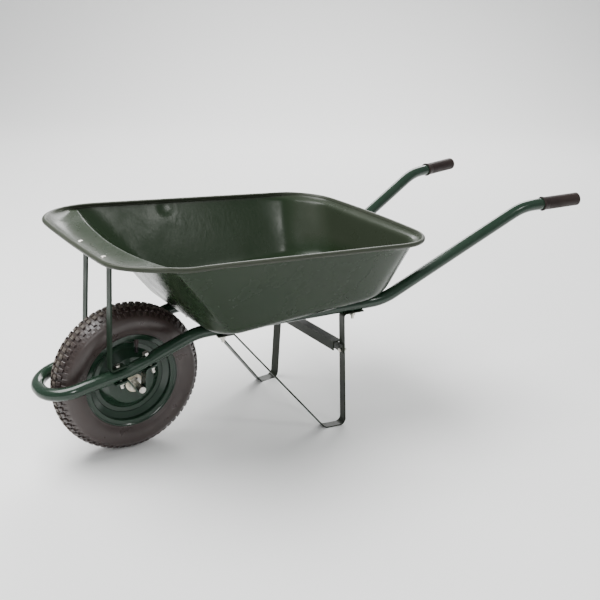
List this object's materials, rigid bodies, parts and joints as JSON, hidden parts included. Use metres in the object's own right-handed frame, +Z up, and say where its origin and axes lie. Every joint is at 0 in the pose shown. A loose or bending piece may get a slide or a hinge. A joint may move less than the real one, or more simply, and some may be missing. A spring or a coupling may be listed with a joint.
{
  "type": "wheelbarrow",
  "caption": "Builder's wheelbarrow: pressed steel tray on a bent tube frame, flat-bar legs and stays, and a pneumatic wheel spinning on a fixed axle.",
  "frame": {"origin": "on the ground, at the middle of the barrow's length and width", "axes": "+X points back towards the handles, +Z is up and the wheel's axle lies along Y; the barrow's left side is -Y"},
  "size_m": [1.4098, 0.5896, 0.5434],
  "materials": {
    "tray_paint": "gloss",
    "frame_paint": "gloss",
    "leg_paint": "satin",
    "zinc": "satin",
    "grip_rubber": "matte",
    "tyre_rubber": "matte",
    "tube_rubber": "matte",
    "nylon": "satin",
    "black_plastic": "matte"
  },
  "bodies": {
    "barrow": {"frame_tube": "frame_paint", "left_grip": "grip_rubber", "right_grip": "grip_rubber", "tray": "tray_paint", "left_leg": "leg_paint", "right_leg": "leg_paint", "leg_brace": "leg_paint", "left_stay": "frame_paint", "right_stay": "frame_paint", "left_axle_strap": "frame_paint", "right_axle_strap": "frame_paint", "axle": "zinc", "axle_washers": "zinc", "split_pins": "zinc", "strap_bolts": "zinc", "strap_nuts": "zinc", "tray_bolts": "zinc", "tray_washers": "zinc", "tray_nuts": "zinc", "lip_bolts": "zinc", "lip_nuts": "zinc", "brace_bolts": "zinc", "brace_nuts": "zinc"},
    "wheel": {"tyre": "tyre_rubber", "inner_tube": "tube_rubber", "wheel_rim": "frame_paint", "left_wheel_disc": "frame_paint", "right_wheel_disc": "frame_paint", "hub_tube": "frame_paint", "left_bush": "nylon", "right_bush": "nylon", "valve_stem": "tube_rubber", "valve_core": "zinc", "valve_cap": "black_plastic"}
  },
  "joints": [
    {"name": "wheel_spin", "type": "hinge", "parent": "barrow", "child": "wheel", "pos_m": [-0.48402, 0, 0.18], "axis": [0, 1, 0], "continuous": true}
  ]
}
